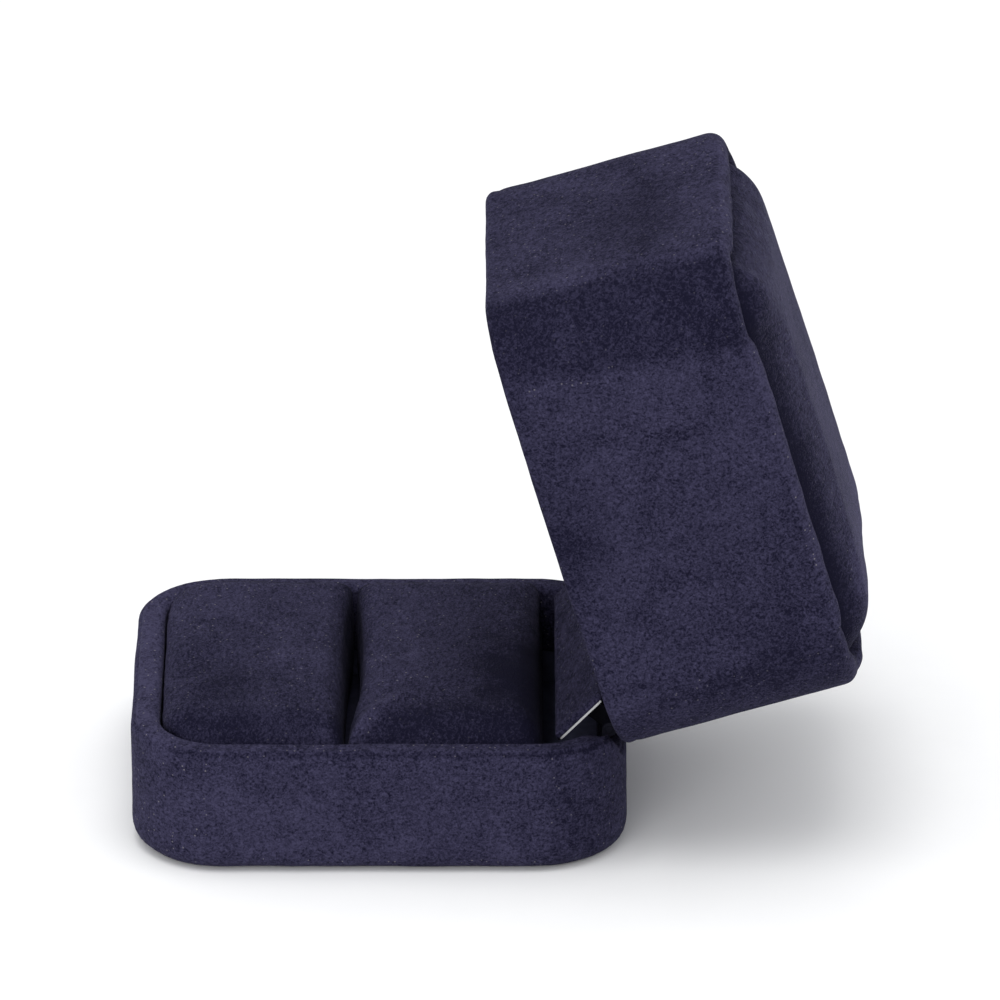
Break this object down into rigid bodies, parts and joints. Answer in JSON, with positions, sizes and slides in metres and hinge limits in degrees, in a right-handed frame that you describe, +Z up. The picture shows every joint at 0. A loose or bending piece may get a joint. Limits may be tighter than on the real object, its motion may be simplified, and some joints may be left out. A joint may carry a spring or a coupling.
{
  "type": "ring box",
  "caption": "Velvet-covered ring box with a slot between two cushions and a deep padded lid on a concealed hinge, standing open.",
  "frame": {"origin": "centre of the underside of the base, on the surface it stands on", "axes": "+X along the hinge, +Y from the front of the base to the hinge side, +Z up"},
  "size_m": [0.0574, 0.0971, 0.0855],
  "materials": {
    "velvet": "matte",
    "cushion_velvet": "matte",
    "shell_plastic": "matte",
    "board": "matte",
    "foam": "matte",
    "hinge_steel": "satin",
    "steel": "satin"
  },
  "bodies": {
    "base": {"base_shell": "shell_plastic", "base_wrap": "velvet", "bottom_patch": "velvet", "insert_card": "board", "front_foam": "foam", "front_cushion_cover": "cushion_velvet", "rear_foam": "foam", "rear_cushion_cover": "cushion_velvet", "base_hinge_leaf": "hinge_steel", "hinge_pin": "hinge_steel"},
    "flap": {"spring_plate": "steel", "spring_plate_velvet": "velvet"},
    "lid": {"lid_shell": "shell_plastic", "lid_wrap": "velvet", "lid_side_lining": "velvet", "lid_inner_card": "board", "lid_inner_foam": "foam", "lid_inner_cover": "cushion_velvet", "lid_pad_board": "board", "lid_pad_foam": "foam", "lid_pad_cover": "velvet", "lid_hinge_leaf": "hinge_steel"}
  },
  "joints": [
    {"name": "lid_hinge", "type": "hinge", "parent": "base", "child": "lid", "pos_m": [0, 0.0302, 0.016], "axis": [1, 0, 0], "range_deg": [0, 73.4]},
    {"name": "flap_hinge", "type": "hinge", "parent": "base", "child": "flap", "pos_m": [0, 0.0302, 0.016], "axis": [1, 0, 0], "range_deg": [0, 44]}
  ],
  "couplings": [
    {"joint": "flap_hinge", "follows": "lid_hinge", "ratio": 0.6}
  ]
}
